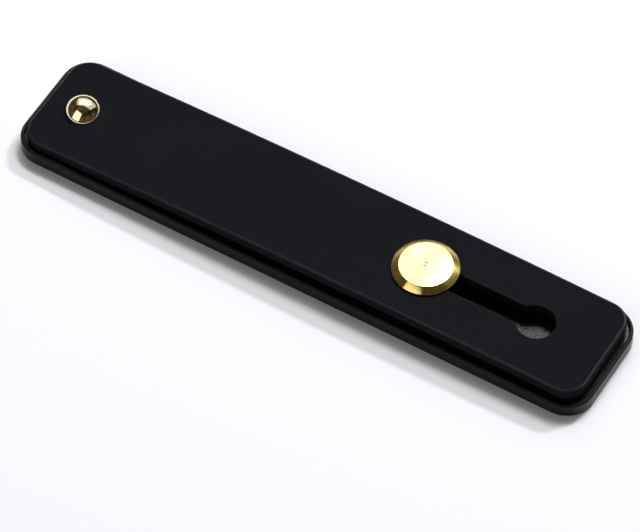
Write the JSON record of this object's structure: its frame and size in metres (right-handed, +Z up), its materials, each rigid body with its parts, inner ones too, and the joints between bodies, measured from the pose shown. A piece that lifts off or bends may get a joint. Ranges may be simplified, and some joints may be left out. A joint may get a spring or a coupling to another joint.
{
  "type": "phone finger strap",
  "caption": "Slim phone finger strap: silicone strap in a shallow rimmed tray, held by a domed stud and a flat button in a keyhole slot, and slid to arch into a finger loop.",
  "frame": {"origin": "middle of the underside, on the surface that the release liner lies on", "axes": "+X along the length towards the keyhole end of the strap, +Y across the width, +Z up, away from the phone"},
  "size_m": [0.1, 0.0204, 0.0065],
  "materials": {
    "tray_plastic": "black moulded ABS, satin, with a polished rim",
    "strap_silicone": "matte black moulded silicone",
    "polished_gold": "gold-plated brass, polished",
    "turned_gold": "gold-plated brass, fine turned",
    "screw_steel": "zinc-plated steel",
    "pad_foam": "closed-cell foam with adhesive on both faces",
    "liner_film": "siliconised film"
  },
  "bodies": {
    "base": {"base_tray": "tray_plastic", "dome_stud": "polished_gold", "button_stud": "turned_gold", "anchor_screw": "screw_steel", "button_screw": "screw_steel", "adhesive_pad": "pad_foam", "release_liner": "liner_film"},
    "strap": {"strap": "strap_silicone"}
  },
  "joints": [
    {"name": "strap_slide", "type": "slide", "parent": "base", "child": "strap", "axis": [-1, 0, 0], "range_m": [0, 0.019], "deforming": ["strap"]}
  ]
}
